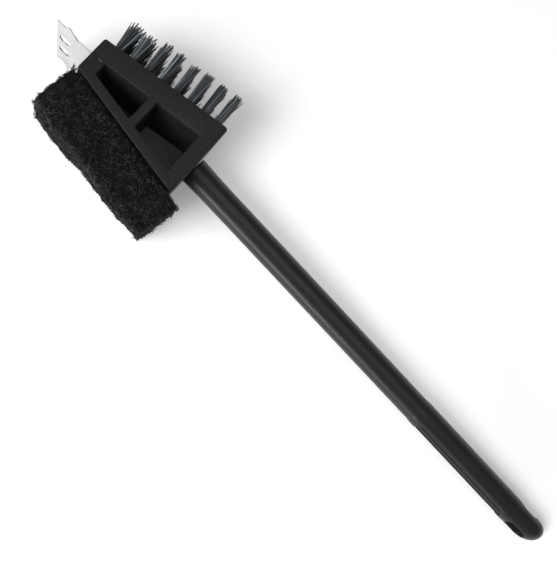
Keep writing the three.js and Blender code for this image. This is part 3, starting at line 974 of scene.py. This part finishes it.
def makePad():
    size = padSizes
    half = size["width"] / 2
    low = (-size["overhang"], -size["lift"] - size["thickness"], -half)
    high = (size["length"] - size["overhang"], -size["lift"], half)
    pad = addBox("padBlock", low, high)
    for vertex in pad.data.vertices:  # the outer face slants, more so at the rear
        if vertex.co.y < low[1] / 2 and vertex.co.z < 0:
            vertex.co.y += size["thinRear"] if vertex.co.x > size["length"] / 2 else size["thinFront"]
        if vertex.co.y < low[1] / 2 and vertex.co.x < size["length"] / 2:
            vertex.co.x += size["slantFront"]
    middle = (low[1] + high[1]) / 2
    side = 0.8 * half

    def longEdge(a, b):
        return abs(a.x - b.x) > size["length"] / 2

    roundEdges(pad, size["lowerRound"], 5, lambda a, b: longEdge(a, b) and a.y < middle and a.z < 0)
    roundEdges(pad, size["outerRound"], 4, lambda a, b: longEdge(a, b) and a.y < middle and a.z > side)
    roundEdges(pad, size["innerRound"], 3, lambda a, b: longEdge(a, b) and a.y > middle and abs(a.z) > side)
    modifier = pad.modifiers.new("evenFaces", "REMESH")
    modifier.mode = "VOXEL"
    modifier.voxel_size = size["voxel"]
    pick(pad)
    bpy.ops.object.modifier_apply(modifier=modifier.name)
    coarseWidth, coarseShare = size["coarseLumps"]
    fineWidth, fineShare = size["fineLumps"]
    for vertex in pad.data.vertices:
        spot = vertex.co / mm
        coarse = noise.noise(spot / coarseWidth)
        fine = noise.noise(spot / fineWidth + Vector((7, 3, 1)))
        lump = coarseShare * coarse + fineShare * fine - size["sink"]
        vertex.co += vertex.normal * size["lumps"] * lump
        along = (vertex.co.x - low[0]) / size["length"]
        depth = (high[1] - vertex.co.y) / size["thickness"]
        vertex.co.y -= size["swell"] * max(0, depth) * (1 - math.cos(4 * math.pi * along)) / 2
    smoothShade(pad, 180)
    return pad


def fibreTemplate():
    # one unit long and of one unit's radius, in three lengths of three sides
    return growAlong("fibre", 3, [(k / 3, 1.0, 0) for k in range(4)])


def makeCurl(template, chance, middle, along, across):
    # an arc of fibre: its top is at the middle, and it bends away from the across direction
    size = fibreSizes
    curl = template.copy()
    curl.data = template.data.copy()
    bpy.context.collection.objects.link(curl)
    radius = size["curl"] * chance.uniform(*size["curlRange"])
    span = chance.uniform(*size["span"])
    thickness = size["radius"] * chance.uniform(*size["thickness"])
    aside = along.cross(across)
    for vertex in curl.data.vertices:
        angle = (vertex.co.x - 0.5) * span
        outward = across * math.cos(angle) + along * math.sin(angle)
        ringPoint = (outward * vertex.co.y + aside * vertex.co.z) * thickness
        vertex.co = middle + outward * radius - across * radius + ringPoint
    # a random tone per fibre, painted light: the rare pale fibres stand in for glints
    setShade(curl, chance.random() ** size["darkness"])
    return curl


def makeClump(template, number):
    size = fibreSizes
    chance = random.Random(size["kindSeed"] + number)
    curls = []
    for _ in range(size["perClump"]):
        spot = Vector((chance.uniform(-0.5, 0.5), chance.uniform(-0.5, 0.5), 0)) * size["clumpWidth"]
        spot.z = chance.uniform(*size["depth"]) * mm
        angle = chance.uniform(0, 2 * math.pi)
        rise = chance.uniform(*size["rise"])
        tilt = chance.uniform(-size["tilt"], size["tilt"])
        along = Vector((math.cos(angle), math.sin(angle), tilt)).normalized()
        level = Vector((-math.sin(angle), math.cos(angle), 0))
        across = (level * math.cos(rise) + Vector((0, 0, 1)) * math.sin(rise)).normalized()
        across = (across - along * across.dot(along)).normalized()
        curls.append(makeCurl(template, chance, spot, along, across))
    return joinAll("fibreClump", curls)


def clumpWeight(face):
    hidden = face.normal.y > 0.7 and face.center.x < fibreSizes["hiddenReach"]
    return face.area * (fibreSizes["hiddenShare"] if hidden else 1)


def gapTo(others, face):
    return min([(face.center - other.center).length_squared for other in others], default=1)


def makePadFibres(pad, parts=4):
    size = fibreSizes
    template = fibreTemplate()
    kinds = [makeClump(template, number) for number in range(size["clumpKinds"])]
    chance = random.Random(size["placeSeed"])
    faces = list(pad.data.polygons)
    weights = [clumpWeight(face) for face in faces]
    chosen = []
    for _ in range(size["clumps"]):
        offers = chance.choices(faces, weights=weights, k=size["choices"])
        gaps = [gapTo(chosen, face) for face in offers]
        chosen.append(offers[gaps.index(max(gaps))])
    groups = [[] for _ in range(parts)]
    for i, face in enumerate(chosen):
        kind = kinds[i % len(kinds)]
        clump = kind.copy()
        clump.data = kind.data.copy()
        bpy.context.collection.objects.link(clump)
        turn = face.normal.to_track_quat("Z", "Y").to_matrix().to_4x4()
        spin = Matrix.Rotation(chance.uniform(0, 2 * math.pi), 4, "Z")
        clump.data.transform(Matrix.Translation(face.center) @ turn @ spin)
        groups[i % parts].append(clump)
    for kind in kinds:
        bpy.data.objects.remove(kind)
    bpy.data.objects.remove(template)
    return [joinAll(f"padFibres{number + 1}", group) for number, group in enumerate(groups)]


# ---------- hook strip ----------

stripSizes = {
    "thickness": 0.9 * mm,
    "margin": 3.5 * mm,
    "gap": 0.3 * mm,
    "cornerRadius": 1.5 * mm,
    "edgeRadius": 0.25 * mm,
}


def makeStrip():
    size = stripSizes
    end = headSizes["length"] / math.cos(padSlope) - size["margin"]
    half = padSizes["width"] / 2 - size["margin"]
    low = (size["margin"], -size["gap"] - size["thickness"], -half)
    strip = addBox("hookStrip", low, (end, -size["gap"], half))
    roundEdges(strip, size["cornerRadius"], 3, lambda a, b: abs(a.y - b.y) > size["thickness"] / 2)
    softenEdges(strip, size["edgeRadius"], angle=40)
    smoothShade(strip, 35)
    place(strip, padFrame)
    dress(strip, hookTape)
    return strip


# ---------- put together ----------

headShell = makeHead()
print("head made")
handleBar = makeHandle()
print("handle made")
scraperSheet = makeBlade()
print("scraper made")
strand = strandTemplate()
bristleRows = makeBristles(strand)
bpy.data.objects.remove(strand)
print("bristles made")
padBlock = makePad()
padFibres = makePadFibres(padBlock)
for piece, material in [(padBlock, padCore)] + [(fibres, padFibre) for fibres in padFibres]:
    place(piece, padFrame)
    dress(piece, material)
print("pad made")
hookStrip = makeStrip()
print("hook strip made")

for piece in [headShell, handleBar, scraperSheet, padBlock, hookStrip] + bristleRows + padFibres:
    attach(piece, "root")
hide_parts("head_body")
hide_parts("handle")
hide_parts("scraper_blade")
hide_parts("pad_hook_strip")
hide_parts("scouring_pad")
for number, row in enumerate(bristleRows):
    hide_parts(f"bristle_block_{number + 1}")
for slot in frame["nodes"]["handle_pin"].material_slots:
    slot.material = steel

# ---------- floor, light and camera ----------

stageSizes = {
    "floorWidth": 30,
    "floorWhite": 0.86,
    "nearGlow": 0.17,  # extra white that only the camera and reflections see
    "farGlow": 0.8,
    "glowReach": (0.7, 1.8),  # from where to where it grows
    "horizon": 0.7,  # pale studio walls, under a darker ceiling
    "ceiling": 0.2,
    "wallsEnd": (0.12, 0.4),  # height from which to which the walls give way to the ceiling
}
lamps = {  # each is aimed at the brush, and one without a streak leaves no highlight
    "keyLight": {"place": (-0.62, -1.35, 1.8), "width": 1.1, "height": 1.1, "power": 46, "streak": False},
    "topLight": {"place": (0, 0.05, 1.6), "width": 1.2, "height": 1.2, "power": 5.4, "streak": True},
    "lowLight": {"place": (-0.2, -1.3, 0.25), "width": 1.2, "height": 0.4, "power": 13.5, "streak": True},
}


def cameraOrReflection(tree):
    path = tree.nodes.new("ShaderNodeLightPath")
    first = addNode(tree, "ShaderNodeMath", {"operation": "ADD", "use_clamp": True})
    second = addNode(tree, "ShaderNodeMath", {"operation": "ADD", "use_clamp": True})
    tree.links.new(path.outputs["Is Camera Ray"], first.inputs[0])
    tree.links.new(path.outputs["Is Glossy Ray"], first.inputs[1])
    tree.links.new(first.outputs[0], second.inputs[0])
    tree.links.new(path.outputs["Is Transmission Ray"], second.inputs[1])
    return second.outputs[0]


def makeFloor():
    deselectAll()
    bpy.ops.mesh.primitive_plane_add(size=stageSizes["floorWidth"], location=(0, 0, 0))
    floor = bpy.context.object
    floor.name = "floor"
    material, tree, shader = newMaterial("paleFloor", {"Roughness": 0.9, "Specular IOR Level": 0.1,
                                                       "Base Color": grey(stageSizes["floorWhite"]),
                                                       "Emission Color": (1, 1, 1, 1)})
    coords = addNode(tree, "ShaderNodeTexCoord")
    distance = addNode(tree, "ShaderNodeVectorMath", {"operation": "LENGTH"})
    near, far = stageSizes["glowReach"]
    level = addNode(tree, "ShaderNodeMapRange", {"interpolation_type": "SMOOTHSTEP"},
                    {"From Min": near, "From Max": far,
                     "To Min": stageSizes["nearGlow"], "To Max": stageSizes["farGlow"]})
    glow = addNode(tree, "ShaderNodeMath", {"operation": "MULTIPLY"})
    tree.links.new(coords.outputs["Object"], distance.inputs[0])
    tree.links.new(distance.outputs["Value"], level.inputs["Value"])
    tree.links.new(level.outputs["Result"], glow.inputs[1])
    tree.links.new(cameraOrReflection(tree), glow.inputs[0])
    tree.links.new(glow.outputs[0], shader.inputs["Emission Strength"])
    dress(floor, material)


def makeWorld():
    world = bpy.data.worlds.new("studio")
    bpy.context.scene.world = world
    world.use_nodes = True
    tree = world.node_tree
    background = tree.nodes["Background"]
    background.inputs["Color"].default_value = (1, 1, 1, 1)
    coords = addNode(tree, "ShaderNodeTexCoord")
    parts = addNode(tree, "ShaderNodeSeparateXYZ")
    bottom, top = stageSizes["wallsEnd"]
    walls = addNode(tree, "ShaderNodeMapRange", {"interpolation_type": "SMOOTHSTEP"},
                    {"From Min": bottom, "From Max": top, "To Min": 1, "To Max": 0})
    # the walls give the light of "horizon", and show as plain white
    level = addNode(tree, "ShaderNodeMath", {"operation": "MULTIPLY_ADD"})
    level.inputs[1].default_value = 1 - stageSizes["horizon"]
    level.inputs[2].default_value = stageSizes["horizon"] - stageSizes["ceiling"]
    strength = addNode(tree, "ShaderNodeMath", {"operation": "MULTIPLY_ADD"})
    strength.inputs[2].default_value = stageSizes["ceiling"]
    tree.links.new(coords.outputs["Generated"], parts.inputs["Vector"])
    tree.links.new(parts.outputs["Z"], walls.inputs["Value"])
    tree.links.new(cameraOrReflection(tree), level.inputs[0])
    tree.links.new(walls.outputs["Result"], strength.inputs[0])
    tree.links.new(level.outputs[0], strength.inputs[1])
    tree.links.new(strength.outputs[0], background.inputs["Strength"])


def makeLamps():
    for name, lamp in lamps.items():
        deselectAll()
        bpy.ops.object.light_add(type="AREA", location=lamp["place"])
        light = bpy.context.object
        light.name = name
        light.data.shape = "RECTANGLE"
        light.data.size = lamp["width"]
        light.data.size_y = lamp["height"]
        light.data.energy = lamp["power"]
        light.visible_glossy = lamp["streak"]
        light.rotation_euler = (-Vector(lamp["place"])).to_track_quat("-Z", "Y").to_euler()


cameraView = {  # in the brush's own frame
    "place": Vector((0.0170, -0.17081, 0.63249)),
    "towards": Vector((0.1175, 0.2435, -0.9628)),
    "right": Vector((0.6798, 0.6870, 0.2567)),
    "lens": 63.64,
}


def makeCamera():
    deselectAll()
    bpy.ops.object.camera_add()
    camera = bpy.context.object
    camera.name = "mainView"
    back = -cameraView["towards"].normalized()
    right = (cameraView["right"] - back * cameraView["right"].dot(back)).normalized()
    up = back.cross(right)
    turn = Matrix((right, up, back)).transposed().to_4x4()
    camera.matrix_world = brushFrame @ Matrix.Translation(cameraView["place"]) @ turn
    camera.data.lens = cameraView["lens"]
    camera.data.clip_start = 0.01
    camera.data.clip_end = 100
    bpy.context.scene.camera = camera


makeFloor()
makeWorld()
makeLamps()
makeCamera()
bpy.context.scene.view_settings.view_transform = "Standard"
print("stage set")
